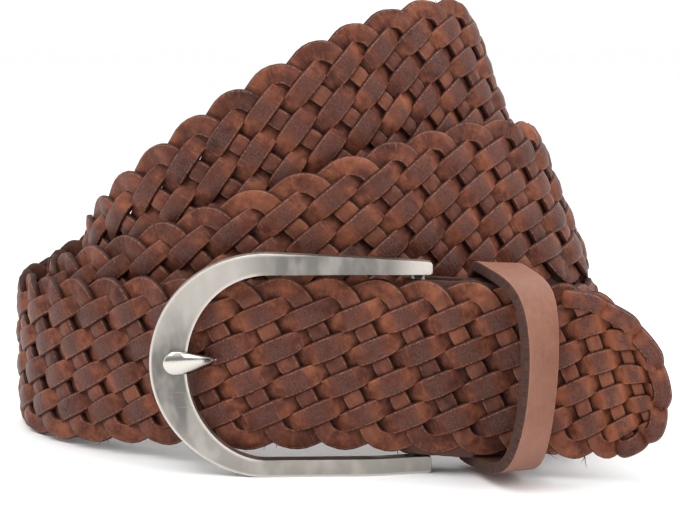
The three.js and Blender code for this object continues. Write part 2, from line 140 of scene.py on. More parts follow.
# The route is drawn about its own middle, and moves so that its band fills the frame's band.
corners = [f["place"] + f["out"] * (side * belt["thickness"] / 2) + f["across"] * (edge * belt["width"] / 2)
           for f in frames[belt["tipSamples"]:] for side in (-1, 1) for edge in (-1, 1)]
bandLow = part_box("braided_strap")[0] / millimetre
shift = Vector((bandLow.x - min(c.x for c in corners), bandLow.y - min(c.y for c in corners), 0.0))


# The frame at a distance from the tail's tip.
def frameAt(at):
    at = held(at, 0.0, beltLength)
    low, high = 0, len(frames) - 1
    while high - low > 1:
        middle = (low + high) // 2
        low, high = (middle, high) if frames[middle]["at"] <= at else (low, middle)
    a, b = frames[low], frames[high]
    share = (at - a["at"]) / (b["at"] - a["at"])
    mixed = {key: a[key].lerp(b[key], share) for key in ("place", "travel", "across", "out")}
    for key in ("travel", "across", "out"):
        mixed[key].normalize()
    return mixed


def pointFrom(f, out, across, along=0.0):
    return f["place"] + f["out"] * out + f["across"] * across + f["travel"] * along


# The first frame, counted from the tip, that lies left of x.
def frontFrame(x):
    return next(f for f in frames if f["place"].x <= x)


def linked(name, data):
    made = bpy.data.objects.new(name, data)
    bpy.context.collection.objects.link(made)
    return made


def pieceFrom(name, points, faces, attributes):
    mesh = bpy.data.meshes.new(name)
    mesh.from_pydata([(p + shift) * millimetre for p in points], [], faces)
    for label, values in attributes.items():
        mesh.attributes.new(label, "FLOAT", "POINT").data.foreach_set("value", values)
    mesh.polygons.foreach_set("use_smooth", [True] * len(mesh.polygons))
    mesh.update()
    return linked(name, mesh)


# Rings of points joined into one skin; values holds one list of numbers a ring for each attribute.
def loft(name, rings, closed=False, **values):
    sides = len(rings[0])
    points = [p for ring in rings for p in ring]
    faces = []
    for i in range(len(rings) if closed else len(rings) - 1):
        here, there = i * sides, (i + 1) % len(rings) * sides
        for j in range(sides):
            k = (j + 1) % sides
            faces.append((here + j, here + k, there + k, there + j))
    if not closed:
        faces.append(tuple(range(sides))[::-1])
        faces.append(tuple(len(points) - sides + j for j in range(sides)))
    flat = {label: [v for ring in rows for v in ring] for label, rows in values.items()}
    piece = pieceFrom(name, points, faces, flat)
    faceOutwards(piece)
    return piece


def faceOutwards(piece):
    work = bmesh.new()
    work.from_mesh(piece.data)
    bmesh.ops.recalc_face_normals(work, faces=work.faces)
    if work.calc_volume(signed=True) < 0:
        bmesh.ops.reverse_faces(work, faces=work.faces)
    work.to_mesh(piece.data)
    work.free()


# Modifiers become plain mesh, and the piece is left with none.
def settle(piece):
    graph = bpy.context.evaluated_depsgraph_get()
    plain = bpy.data.meshes.new_from_object(piece.evaluated_get(graph))
    plain.name = piece.name
    piece.modifiers.clear()
    piece.data = plain


class Wire:  # a node socket that takes part in Python arithmetic
    def __init__(self, bench, socket):
        self.bench, self.socket = bench, socket

    def __add__(self, other):
        return self.bench.maths("ADD", self, other)

    def __sub__(self, other):
        return self.bench.maths("SUBTRACT", self, other)

    def __rsub__(self, other):
        return self.bench.maths("SUBTRACT", other, self)

    def __mul__(self, other):
        return self.bench.maths("MULTIPLY", self, other)

    def __truediv__(self, other):
        return self.bench.maths("DIVIDE", self, other)

    def __neg__(self):
        return self.bench.maths("MULTIPLY", self, -1.0)

    __radd__ = __add__
    __rmul__ = __mul__


class Bench:  # adds nodes to one tree
    def __init__(self, tree):
        self.tree = tree

    # Settings go in first, then values or links; the named output comes back as a wire.
    def add(self, kind, settings=None, inputs=None, output=None):
        node = self.tree.nodes.new(kind)
        for name, value in (settings or {}).items():
            if name == "stops":
                while len(node.color_ramp.elements) > 1:
                    node.color_ramp.elements.remove(node.color_ramp.elements[-1])
                for i, (place, colour) in enumerate(value):
                    stop = node.color_ramp.elements[0] if i == 0 else node.color_ramp.elements.new(place)
                    stop.position, stop.color = place, (*colour, 1.0)
            else:
                setattr(node, name, value)
        for name, value in (inputs or {}).items():
            socket = self.find(node.inputs, name)
            if isinstance(value, Wire):
                self.tree.links.new(value.socket, socket)
            elif value is not None:
                socket.default_value = value
        return Wire(self, self.find(node.outputs, output)) if len(node.outputs) else node

    def find(self, sockets, name):
        if name is None:
            return next(s for s in sockets if s.enabled)
        if isinstance(name, int):
            return sockets[name]
        return next(s for s in sockets if s.identifier == name or (s.name == name and s.enabled))

    def maths(self, operation, *values):
        return self.add("ShaderNodeMath", {"operation": operation}, dict(enumerate(values)))

    def vector(self, operation, *values, **named):
        return self.add("ShaderNodeVectorMath", {"operation": operation},
                        {**dict(enumerate(values)), **named}, "Vector")

    def clamp(self, value, low=0.0, high=1.0):
        return self.add("ShaderNodeClamp", None, {"Value": value, "Min": low, "Max": high})

    # 0 at low and 1 at high, whichever of them is the greater
    def smooth(self, value, low, high):
        return self.add("ShaderNodeMapRange", {"interpolation_type": "SMOOTHSTEP"},
                        {"Value": value, "From Min": low, "From Max": high})

    def blend(self, share, a, b):
        a, b = [(*c, 1.0) if isinstance(c, tuple) else c for c in (a, b)]
        return self.add("ShaderNodeMix", {"data_type": "RGBA"},
                        {"Factor_Float": share, "A_Color": a, "B_Color": b}, "Result_Color")

    # Tones laid over a colour one after another, each as (share, tone).
    def over(self, colour, *layers):
        for share, tone in layers:
            colour = self.blend(share, colour, tone)
        return colour

    def noise(self, vector, scale, detail=2.0, rough=0.5):
        return self.add("ShaderNodeTexNoise", None,
                        {"Vector": vector, "Scale": scale, "Detail": detail, "Roughness": rough}, "Fac")

    def triple(self, x, y, z):
        return self.add("ShaderNodeCombineXYZ", None, {"X": x, "Y": y, "Z": z})

    def ramp(self, value, stops):
        return self.add("ShaderNodeValToRGB", {"stops": stops}, {"Fac": value}, "Color")

    def attribute(self, name):
        if self.tree.bl_idname == "GeometryNodeTree":
            return self.add("GeometryNodeInputNamedAttribute", {"data_type": "FLOAT"}, {"Name": name},
                            "Attribute")
        return self.add("ShaderNodeAttribute", {"attribute_name": name}, None, "Fac")


def material(name):
    made = bpy.data.materials.new(name)
    made.use_nodes = True
    made.node_tree.nodes.clear()
    return made, Bench(made.node_tree)


def finishMaterial(bench, inputs, bump=None):
    if bump:
        height, strength, reach = bump
        inputs["Normal"] = bench.add("ShaderNodeBump", None,
                                     {"Height": height, "Strength": strength, "Distance": reach}, "Normal")
    shader = bench.add("ShaderNodeBsdfPrincipled", None, inputs, "BSDF")
    bench.add("ShaderNodeOutputMaterial", None, {"Surface": shader})


def srgb(*levels):
    return tuple(c / 255 / 12.92 if c <= 10 else ((c / 255 + 0.055) / 1.055) ** 2.4 for c in levels)


def shade(tone, share):
    return tuple(c * share for c in tone)


# Braid: flat sizes of ten strands that each cross the band slowly one way and quickly the other.
braid = {
    "strands": 10, "pitch": 10.0, "fallRun": 18.4, "turnHeight": 35.4, "turnRadius": 5.0,
    "riseSwing": 1.0, "fallSwing": 0.5, "strandWidth": 4.35, "strandThickness": 1.5, "dome": 0.16,
    "squareness": 0.3, "wobble": 0.22, "unevenness": 0.3, "wobbleScale": (0.09, 7.3, 0.08),
    "fullness": 1.03, "topSpread": 0.14, "fallNarrowing": 0.15, "insideHeights": (14.0, 9.0), "domeRest": 1.3,
    "fallSteps": 46, "riseSteps": 72, "sides": 12, "mergeReach": 0.001, "floorGap": 0.05,
    "tipEnd": 32.0, "tipCrowding": 1.25, "tipReach": 22.0, "evening": (-6, -3, 0, 3, 6),
    # the second layer's right turn sags on to the first
    "sag": 1.7, "sagAt": 342.0, "sagRun": 18.0,
    # the front is pushed forward where the prong comes up through it, and a little in the left turn
    "prongPush": 3.8, "prongAt": 95.0, "prongRun": 13.0, "frontEnd": 140,
    "bulge": 0.8, "bulgeAt": 174.0, "bulgeRun": 24.0,
}

# Where the crossings' count stands along the belt, as (distance from the tip, braid distance).
pitchMarks = [(22, 32), (69.1, 80), (150.7, 160), (363.4, 370), (396.4, 408), (454.6, 460), (494.6, 494),
              (664.3, 671), (694.6, 710), (724.6, 740), (760.8, 770), (782.2, 788), (997.9, 1000)]

# The plait's rounded end inside its edge strands, as (distance back from the tip, top, bottom).
tipShape = [(2.2, -5.0, -11.5), (2.8, -0.5, -12.8), (4.0, 4.2, -14.0), (6.0, 8.2, -15.2), (9.0, 11.8, -16.4),
            (13.0, 14.8, -17.3), (17.5, 16.8, -17.5), (22.0, 17.5, -17.5)]


# Reads one column of a table between its rows, by the value in another.
def between(marks, value, given=0, wanted=1):
    for a, b in zip(marks, marks[1:]):
        if value <= b[given] or b is marks[-1]:
            share = (value - a[given]) / (b[given] - a[given])
            return a[wanted] + share * (b[wanted] - a[wanted])


def bell(value, middle, run):
    return math.exp(-((value - middle) / run) ** 2)


# The band's frame and its top and bottom edge heights at a braid distance.
def bandAt(distance):
    half = belt["width"] / 2
    if distance >= braid["tipEnd"]:
        near = [between(pitchMarks, distance + d, 1, 0) for d in braid["evening"]]
        at = sum(near) / len(near)
        return frameAt(at), half, -half - braid["sag"] * bell(at, braid["sagAt"], braid["sagRun"])
    share = (max(distance, 0.0) / braid["tipEnd"]) ** braid["tipCrowding"]
    back = tipShape[0][0] + (braid["tipReach"] - tipShape[0][0]) * share
    return frameAt(back), between(tipShape, back, 0, 1), between(tipShape, back, 0, 2)


# A line of vertices, one each millimetre of braid, that carries the band's cross line and outward side.
def braidRoute():
    middles, rises, outs = [], [], []
    prongX = frameAt(braid["prongAt"])["place"].x
    for i in range(int(pitchMarks[-1][1]) + 1):
        f, high, low = bandAt(i)
        push = braid["bulge"] * bell(i, braid["bulgeAt"], braid["bulgeRun"])
        if i < braid["frontEnd"]:
            push += braid["prongPush"] * bell(f["place"].x, prongX, braid["prongRun"])
        top, bottom = pointFrom(f, push, high), pointFrom(f, push, low)
        middles.append((top + bottom) / 2)
        rises.append((top - bottom) / belt["width"])
        outs.append(f["out"])
    mesh = bpy.data.meshes.new("braid_route")
    mesh.from_pydata(middles, [(i, i + 1) for i in range(len(middles) - 1)], [])
    for label, values in (("rise", rises), ("outward", outs)):
        attribute = mesh.attributes.new(label, "FLOAT_VECTOR", "POINT")
        attribute.data.foreach_set("vector", [c for v in values for c in v])
    return mesh


# The sizes that the plait's tree takes as inputs, with their names in braid.
plaitSizes = (("Pitch", "pitch"), ("Fall run", "fallRun"), ("Turn height", "turnHeight"),
              ("Turn radius", "turnRadius"), ("Rise swing", "riseSwing"), ("Fall swing", "fallSwing"),
              ("Strand width", "strandWidth"), ("Strand thickness", "strandThickness"), ("Dome", "dome"),
              ("Squareness", "squareness"))


def keep(b, shape, label, value, domain="POINT"):
    return b.add("GeometryNodeStoreNamedAttribute", {"data_type": "FLOAT", "domain": domain},
                 {"Geometry": shape, "Name": label, "Value": value}, "Geometry")


def signedPower(b, value, power):
    return b.maths("SIGN", value) * b.maths("POWER", b.maths("ABSOLUTE", value), power)


# One flat sheet of vertices for each strand, rolled up into a bar further down.
def strandSheets(b, size, rows):
    columns = braid["sides"] + 1
    sheet = b.add("GeometryNodeMeshGrid", None, {"Size X": 1.0, "Size Y": 1.0, "Vertices X": rows,
                                                 "Vertices Y": columns}, "Mesh")
    index = b.add("GeometryNodeInputIndex")
    sheet = keep(b, sheet, "row", b.maths("FLOOR", index / columns + 0.0001))
    sheet = keep(b, sheet, "side", b.maths("MODULO", index + 0.25, columns) - 0.25)
    starts = b.add("GeometryNodeMeshLine", {"mode": "OFFSET"}, {"Count": size("Strands here")}, "Mesh")
    many = b.add("GeometryNodeInstanceOnPoints", None, {"Points": starts, "Instance": sheet}, "Instances")
    many = keep(b, many, "strand", b.add("GeometryNodeInputIndex") + size("First strand"), "INSTANCE")
    return b.add("GeometryNodeRealizeInstances", None, {"Geometry": many}, "Geometry")


# How far a row of a strand has come: whether it falls, its shares of the fall and the rise, and its
# distance along the route. A fall gets more steps, so turns counts periods by steps, passed by distance.
def strandProgress(b, size, rows, strand, period):
    fallShare = size("Fall run") / period
    stepShare = braid["fallSteps"] / (braid["fallSteps"] + braid["riseSteps"])

    def turnsAt(distance):
        passed = (distance + size("Fall run") - strand * size("Pitch")) / period
        part = b.maths("FRACT", passed)
        return b.maths("FLOOR", passed) + b.maths("MINIMUM", part / fallShare, 1.0) * stepShare \
            + b.maths("MAXIMUM", (part - fallShare) / (1.0 - fallShare), 0.0) * (1 - stepShare)

    firstTurn, lastTurn = turnsAt(0.02), turnsAt(size("Route length") - 0.02)
    share = b.clamp((b.attribute("row") - 1.0) / (rows - 3.0))
    turns = firstTurn + (lastTurn - firstTurn) * share
    part = b.maths("FRACT", turns)
    falls = b.maths("LESS_THAN", part, stepShare)
    fall = b.maths("MINIMUM", part / stepShare, 1.0)
    rise = b.maths("MAXIMUM", (part - stepShare) / (1 - stepShare), 0.0)
    passed = b.maths("FLOOR", turns) + fall * fallShare + rise * (1.0 - fallShare)
    along = b.clamp(strand * size("Pitch") + passed * period - size("Fall run"), 0.0, size("Route length"))
    return falls, fall, rise, along


# Height over the band's middle line, and its slope: two straight legs, joined by an arc at each edge.
def strandPath(b, size, falls, fall, rise, leg, period):
    fallRun, half, radius = size("Fall run"), size("Turn height") / 2.0, size("Turn radius")
    steep, gentle = size("Turn height") / fallRun, size("Turn height") / (period - fallRun)
    upper = b.maths("ABSOLUTE", falls - b.maths("GREATER_THAN", leg, 0.5))
    edgeSide = upper * 2.0 - 1.0
    fromEdge = falls * fallRun * (upper * fall + (1.0 - upper) * (1.0 - fall)) \
        - (1.0 - falls) * (period - fallRun) * (upper * (1.0 - rise) + (1.0 - upper) * rise)
    reachSteep, reachGentle = b.maths("SQRT", steep * steep + 1.0), b.maths("SQRT", gentle * gentle + 1.0)
    # the arc's middle lies a radius inside both legs
    arcAlong = radius * (reachGentle - reachSteep) / (gentle + steep)
    arcHeight = half + gentle * arcAlong - radius * reachGentle
    arcFrom = arcAlong - radius * gentle / reachGentle
    arcTo = arcAlong + radius * steep / reachSteep
    offset = fromEdge - arcAlong
    onArc = b.maths("GREATER_THAN", fromEdge, arcFrom) * b.maths("LESS_THAN", fromEdge, arcTo)
    arcDrop = b.maths("SQRT", b.maths("MAXIMUM", radius * radius - offset * offset, 0.01))
    legHeight = half + b.maths("MINIMUM", gentle * fromEdge, -(steep * fromEdge))
    height = (onArc * (arcHeight + arcDrop) + (1.0 - onArc) * legHeight) * edgeSide
    legSlope = (1.0 - falls) * gentle - falls * steep
    slope = onArc * (-(offset / arcDrop)) + (1.0 - onArc) * legSlope
    return height, slope


# Over and under: half a wave from one crossing to the next, and a quarter wave into each turn.
def strandWave(b, falls, leg):
    count = braid["strands"]
    inner = b.clamp(leg, 1.0 / count, 1.0 - 1.0 / count)
    angle = (inner * count + (leg - inner) * count / 2.0) * math.pi
    return b.maths("COSINE", angle) * (1.0 - falls * 2.0)


# The bar round a strand's line: rounded, a little domed on its outer face, closed to a point at both ends.
# Gives how far a place stands sideways of the line, and how far out.
def strandBody(b, size, wide, thick, present, wobble, place):
    height, falls, wave = place
    inside = b.smooth(b.maths("ABSOLUTE", height), *braid["insideHeights"])
    flatWave = signedPower(b, wave, 0.5)
    spread = braid["fullness"] + wobble * braid["wobble"] \
        + (flatWave * braid["topSpread"] - falls * braid["fallNarrowing"]) * inside
    sideways = wide * (size("Strand width") / 2.0 * spread * present)
    domed = b.maths("GREATER_THAN", thick, 0.0) * (1.0 - wide * wide) * size("Dome") \
        * (braid["domeRest"] + wave)
    lift = flatWave * (falls * size("Fall swing") + (1.0 - falls) * size("Rise swing"))
    raised = lift + (thick * size("Strand thickness") / 2.0 + domed) * present + wobble * braid["unevenness"]
    return sideways, raised


# A flat place of the plait laid on the route, between the two nearest of its vertices.
def laidOnRoute(b, size, flatAlong, flatHeight, raised):
    lower = b.maths("MINIMUM", b.maths("FLOOR", flatAlong), size("Route length") - 1.0)
    near = flatAlong - lower
    fields = [b.add("GeometryNodeInputPosition")]
    for label in ("rise", "outward"):
        fields.append(b.add("GeometryNodeInputNamedAttribute", {"data_type": "FLOAT_VECTOR"}, {"Name": label},
                            "Attribute"))
    sampled = []
    for field in fields:
        here, there = [b.add("GeometryNodeSampleIndex", {"data_type": "FLOAT_VECTOR", "domain": "POINT"},
                             {"Geometry": size("Route"), "Value": field, "Index": lower + step}, "Value")
                       for step in (0.0, 1.0)]
        sampled.append(b.vector("ADD", b.vector("SCALE", here, Scale=1.0 - near),
                                b.vector("SCALE", there, Scale=near)))
    place, rise, outward = sampled
    laid = b.vector("ADD", place, b.vector("ADD", b.vector("SCALE", rise, Scale=-flatHeight),
                                           b.vector("SCALE", outward, Scale=raised)))
    # no strand reaches below the table
    return b.vector("MAXIMUM", laid, (-1000.0, -1000.0, braid["floorGap"]))


# The tree that plaits the strands flat, then lays them along the route.
def plaitTree(leather):
    tree = bpy.data.node_groups.new("plaited strands", "GeometryNodeTree")
    face = tree.interface
    face.new_socket("Geometry", in_out="OUTPUT", socket_type="NodeSocketGeometry")
    face.new_socket("Route", in_out="INPUT", socket_type="NodeSocketGeometry")
    sockets = {}
    for label, kind in (("First strand", "Int"), ("Strands here", "Int"), ("Route length", "Float"),
                        *((label, "Float") for label, key in plaitSizes)):
        made = face.new_socket(label, in_out="INPUT", socket_type="NodeSocket" + kind)
        sockets[label] = made.identifier
    b = Bench(tree)
    given = tree.nodes.new("NodeGroupInput")

    def size(label):
        return Wire(b, given.outputs[label])

    steps = braid["fallSteps"] + braid["riseSteps"]
    rows = int((pitchMarks[-1][1] / (braid["strands"] * braid["pitch"]) + 0.02) * steps) + 3
    bars = strandSheets(b, size, rows)
    strand = b.attribute("strand")
    period = size("Pitch") * braid["strands"]
    falls, fall, rise, along = strandProgress(b, size, rows, strand, period)
    leg = falls * fall + (1.0 - falls) * rise
    height, slope = strandPath(b, size, falls, fall, rise, leg, period)
    wave = strandWave(b, falls, leg)
    turn = b.attribute("side") / float(braid["sides"]) * (2 * math.pi)
    wide, thick = [signedPower(b, b.maths(kind, turn), size("Squareness")) for kind in ("COSINE", "SINE")]
    present = b.clamp(b.maths("MINIMUM", b.attribute("row"), (rows - 1.0) - b.attribute("row")))
    alongScale, strandScale, heightScale = braid["wobbleScale"]
    wobble = b.noise(b.triple(along * alongScale, strand * strandScale, height * heightScale), 1.0, 2.0) - 0.5
    sideways, raised = strandBody(b, size, wide, thick, present, wobble, (height, falls, wave))
    run = b.maths("SQRT", slope * slope + 1.0)
    flatAlong = b.clamp(along - sideways * slope / run, 0.0, size("Route length"))
    laid = laidOnRoute(b, size, flatAlong, height + sideways / run, raised)

    for label, value in (("lengthway", along), ("crossway", wide), ("top", thick), ("lift", wave),
                         ("falling", falls), ("level", height)):
        bars = keep(b, bars, label, value)
    for kind, settings in (("SetPosition", {"Position": laid}),
                           ("MergeByDistance", {"Distance": braid["mergeReach"]}),
                           ("Transform", {"Translation": shift * millimetre, "Scale": (millimetre,) * 3}),
                           ("SetShadeSmooth", {}), ("RealizeInstances", {}),
                           ("SetMaterial", {"Material": leather})):
        bars = b.add("GeometryNode" + kind, None, {"Geometry": bars, **settings}, "Geometry")
    out = tree.nodes.new("NodeGroupOutput")
    tree.links.new(bars.socket, out.inputs[0])
    return tree, sockets


def plaitedLeather():
    made, b = material("plaited leather")
    along, cross, top = b.attribute("lengthway"), b.attribute("crossway"), b.attribute("top")
    lift, strand, falling = b.attribute("lift"), b.attribute("strand"), b.attribute("falling")
    inside = b.smooth(b.maths("ABSOLUTE", b.attribute("level")), 15.5, 12.5)
    skin = b.triple(along, cross * 2.0 + strand * 11.0, strand * 5.0)
    broad = b.noise(skin, 0.09, 3.0, 0.55)
    mottle = b.noise(skin, 0.55, 4.0, 0.6)
    fine = b.noise(skin, 2.6, 3.0, 0.65)
    creases = b.noise(b.triple(along * 2.4, cross * 0.7 + strand * 9.0, strand), 1.0, 3.0, 0.6)
    outerSide = b.smooth(top, 0.1, 0.8)
    crown = b.smooth(lift, 0.35, 1.0)
    # painted shade where a strand dives under its neighbour, away from the band's edges
    diveShade = b.smooth(lift, -0.3, -0.85) * inside
    # painted light: the tan is lighter where lengthway is under 22 to 40 mm, near the tail's tip
    tan = b.ramp(b.clamp(mottle * 1.1 + broad * 1.5 - 0.8 + b.smooth(along, 40.0, 22.0) * 0.3),
                 [(0.1, srgb(58, 29, 21)), (0.45, srgb(93, 49, 34)), (0.9, srgb(142, 83, 57))])
    # burnished wear and painted sheen, laid on the floats' crowns and weaker on the falling strands
    wearAndHighlight = b.ramp(fine, [(0.3, srgb(50, 28, 24)), (0.75, srgb(108, 70, 61))])
    scuffed = b.smooth(creases, 0.54, 0.7) * b.smooth(lift, 1.0, 0.4)
    edge = b.maths("ABSOLUTE", cross)
    # painted highlight: a light line along each strand's outer-face edges, broken up by the fine noise
    highlightRim = b.smooth(edge, 0.74, 0.82) * b.smooth(edge, 0.9, 0.84)
    # the cut sides' own dark colour; laid over the outer face's edges between strands it is painted shade in
    # the seams
    cut = b.ramp(fine, [(0.3, srgb(30, 15, 12)), (0.75, srgb(66, 37, 28))])
    suede = b.ramp(b.clamp(fine * 0.7 + mottle * 0.5 - 0.1),
                   [(0.25, srgb(84, 50, 38)), (0.75, srgb(132, 88, 68))])
    backSide = b.smooth(top, -0.1, -0.8)
    flank = (1.0 - outerSide) * (1.0 - backSide)
    colour = b.over(tan, (crown * b.smooth(mottle, 0.32, 0.56) * (0.92 - falling * 0.6), wearAndHighlight),
                    (scuffed * 0.3, srgb(160, 106, 84)),
                    (highlightRim * b.smooth(fine, 0.42, 0.6) * 0.5, srgb(166, 116, 94)),
                    (diveShade * 0.8, srgb(26, 13, 10)), (backSide, suede),
                    (b.maths("MAXIMUM", flank, b.smooth(edge, 0.85, 0.95) * 0.9), cut))
    rough = 0.5 + (1.0 - outerSide) * 0.22 + (fine - 0.5) * 0.25 + diveShade * 0.15 - crown * 0.1
    relief = creases * 0.7 + fine * 0.4 + mottle * 0.6
    finishMaterial(b, {"Base Color": colour, "Roughness": rough, "Specular IOR Level": 0.2},
                   (relief, 0.65, 0.0004))
    return made


def plaitBelt(leather):
    tree, sockets = plaitTree(leather)
    route = braidRoute()
    half = braid["strands"] // 2
    for first, name in ((0, "plaited_strands_a"), (half, "plaited_strands_b")):
        piece = linked(name, route.copy())
        piece.data.materials.append(leather)
        plait = piece.modifiers.new("plait", "NODES")
        plait.node_group = tree
        plait[sockets["First strand"]] = first
        plait[sockets["Strands here"]] = half
        plait[sockets["Route length"]] = float(len(route.vertices) - 1)
        for label, key in plaitSizes:
            plait[sockets[label]] = braid[key]
        settle(piece)
        faceOutwards(piece)
        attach(piece, "root")
        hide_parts("braided_strap")
        print("plaited", name, len(piece.data.polygons))


# The tail's edge strands: each lies over the next one's start and dives into the plait. The line that
# they follow is given as (distance back from the tip, height), and each strand as its start on the line.
tipEdge = {
    "line": [(24.0, 16.4), (19.0, 16.0), (14.5, 14.3), (10.5, 12.0), (7.0, 8.8), (4.4, 5.0), (2.6, 0.6),
             (1.9, -4.0), (2.2, -8.5), (3.6, -12.4), (6.6, -14.8), (11.0, -16.0)],
    "starts": (0.06, 0.2, 0.345, 0.49, 0.635, 0.78), "reach": 0.25, "lineEnd": 0.985, "middle": (11.0, -2.0),
    "width": 3.9, "thickness": 2.8, "steps": 34, "squareness": 0.6, "inset": 1.08, "seat": -1.5, "crown": 3.3,
    "startDip": 1.3, "sink": 4.6, "sinkRun": 6.875, "diveDip": 1.4,
    "grainLength": 11, "grainStep": 17.0, "strandStep": 1.7, "crest": (1.35, 3.4, 0.45),
}


# One station of an edge strand: its flat place, the way across it, and how far it stands out.
def tipStation(line, start, share):
    at = min(start + tipEdge["reach"] * share, tipEdge["lineEnd"]) * (len(line) - 1)
    k = min(int(at), len(line) - 2)
    here = Vector(line[k]).lerp(Vector(line[k + 1]), at - k)
    ahead = (Vector(line[k + 1]) - Vector(line[k])).normalized()
    inward = Vector((-ahead.y, ahead.x))
    inward = inward if inward.dot(Vector(tipEdge["middle"]) - here) > 0 else -inward
    dive = max(0.0, share - 0.5) / 0.5
    here = here + inward * (tipEdge["inset"] * (1 - share) ** 2 + tipEdge["sink"] * dive ** 1.6)
    bend = math.atan2(tipEdge["sink"] * dive ** 0.6, tipEdge["sinkRun"])
    ahead = (ahead * math.cos(bend) + inward * math.sin(bend)).normalized()
    raised = tipEdge["seat"] + tipEdge["crown"] * math.sin(math.pi * min(1.0, share * 1.12 + 0.06))
    raised -= tipEdge["diveDip"] * dive ** 2 + tipEdge["startDip"] * max(0.0, 1 - share * 5)
    return here, Vector((-ahead.y, ahead.x)), raised


def edgeTip(leather):
    line = splineRows(tipEdge["line"], 12)
    peak, fallOff, crest = tipEdge["crest"]
    sides, steps = braid["sides"] * 2, tipEdge["steps"]
    section = [[signedPart(c, tipEdge["squareness"]) for c in (math.cos(turn), math.sin(turn))]
               for turn in circle(sides)]
    for n, start in enumerate(tipEdge["starts"]):
        rings = []
        marks = {label: [] for label in ("lengthway", "crossway", "top", "lift", "strand", "falling")}
        for i in range(steps + 1):
            share = i / steps
            here, across, raised = tipStation(line, start, share)
            f = frameAt(here.x)
            size = min(1.0, 0.05 + share * 8) if i < steps else 0.05
            ring = []
            for wide, thick in section:
                flat = here + across * wide * tipEdge["width"] / 2 * size
                ring.append(pointFrom(f, raised + thick * tipEdge["thickness"] / 2 * size, flat.y,
                                      flat.x - here.x))
            rings.append(ring)
            marks["lengthway"].append([n * tipEdge["grainStep"] + share * tipEdge["grainLength"]] * sides)
            marks["crossway"].append([wide for wide, thick in section])
            marks["top"].append([thick for wide, thick in section])
            # the lift mark only steers the material here: painted sheen at the strand's crest, painted shade
            # towards its end where it dives in
            marks["lift"].append([min(1.0, peak - fallOff * abs(share - crest))] * sides)
            marks["strand"].append([n * tipEdge["strandStep"]] * sides)
            marks["falling"].append([0.0] * sides)
        piece = loft("tip_strand_%d" % n, rings, **marks)
        piece.data.materials.append(leather)
        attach(piece, "root")
        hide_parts("braided_strap")
    print("tip strands", len(tipEdge["starts"]))


# Loose fibres on the plait's edges, as (distance from the tip, edge, how many).
fibreSpots = [(18, -1, 4), (27, -1, 5), (56, -1, 2), (83, -1, 2), (131, -1, 5), (126, -1, 3), (133, 1, 4),
              (147, 1, 4), (300, 1, 3), (212, 1, 3), (330, -1, 3), (470, 1, 3), (640, 1, 3), (668, 1, 2),
              (700, -1, 2)]
fibre = {"seed": 11, "stations": 6, "sides": 4, "radius": 0.11, "taper": 0.8, "curl": 0.35, "scatter": 2.2,
         "depth": (-1.2, 1.4), "height": (16.6, 18.0), "length": (1.2, 2.6)}


def looseFibres(leather):
    draw = random.Random(fibre["seed"])
    stations, sides = fibre["stations"], fibre["sides"]
    vertices, faces = [], []
    for distance, edge, count in fibreSpots:
        for _ in range(count):
            f = frameAt(distance + draw.uniform(-fibre["scatter"], fibre["scatter"]))
            place = pointFrom(f, draw.uniform(*fibre["depth"]), edge * draw.uniform(*fibre["height"]))
            way = (f["across"] * edge * draw.uniform(0.4, 1.2) + f["travel"] * draw.uniform(-1.2, 1.2)
                   + f["out"] * draw.uniform(-0.5, 0.7)).normalized()
            bend = (f["travel"] * draw.uniform(-1, 1) + f["out"] * draw.uniform(-0.6, 0.6)) * fibre["curl"]
            length = draw.uniform(*fibre["length"])
            first = len(vertices)
            for i in range(stations):
                share = i / (stations - 1)
                centre = place + way * length * share + bend * length * share * share
                thin = fibre["radius"] * (1 - share * fibre["taper"])
                for turn in circle(sides):
                    at = centre + (f["out"] * math.cos(turn) + f["travel"] * math.sin(turn)) * thin
                    at.z = max(at.z, thin - shift.z)
                    vertices.append((at + shift) * millimetre)
            for i in range(stations - 1):
                for j in range(sides):
                    a, c = first + i * sides + j, first + i * sides + (j + 1) % sides
                    faces.append((a, c, c + sides, a + sides))
    mesh = bpy.data.meshes.new("loose_fibres")
    mesh.from_pydata(vertices, [], faces)
    piece = linked("loose_fibres", mesh)
    mesh.materials.append(leather)
    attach(piece, "root")
    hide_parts("braided_strap")
    print("loose fibres", len(faces))


plaitLeather = plaitedLeather()
looseFibres(plaitLeather)
plaitBelt(plaitLeather)
edgeTip(plaitLeather)


# Buckle: a horseshoe bow, a round bar across its open end, and a prong
buckle = {
    "bowReach": 24.8, "bowHeight": 47.4, "bowWall": 7.8, "armWall": 3.2, "armLength": 34.6, "armTaper": 1.8,
    "armStub": 1.4, "thickness": 3.4, "bevel": 0.45, "bevelSteps": 3, "bevelAngle": 50.0, "barRadius": 1.5,
    "barSetback": 3.4, "barSunk": 1.0, "barSides": 32, "bowRoom": 4.5, "armSteps": 24, "bowSteps": 72,
    "archAtBar": 2.2, "arch": 4.4, "archRun": 14.0, "archAtBow": 1.2, "endDrop": 0.5,
    # the arms' ends are rounded off, as (distance along, inset)
    "rounding": [(0.0, 0.85), (0.12, 0.42), (0.4, 0.14), (0.85, 0.0)],
}
armEnd = -(buckle["barRadius"] + buckle["armStub"])
bowStart = armEnd + buckle["armLength"]
openingHeight = buckle["bowHeight"] - buckle["armTaper"] - 2 * buckle["armWall"]
openingFloor = buckle["armWall"] + buckle["armTaper"] / 4
openingTop = openingFloor + openingHeight
openingMiddle = openingFloor + openingHeight / 2
openingReach = buckle["bowReach"] - buckle["bowWall"]
barPlace = pointFrom(frames[-1], 0.0, 0.0, buckle["barSetback"])
tailAtBow = frontFrame(barPlace.x - bowStart - openingReach)["place"]
bowDepth = tailAtBow.y - belt["thickness"] / 2 - buckle["bowRoom"] - buckle["thickness"] / 2
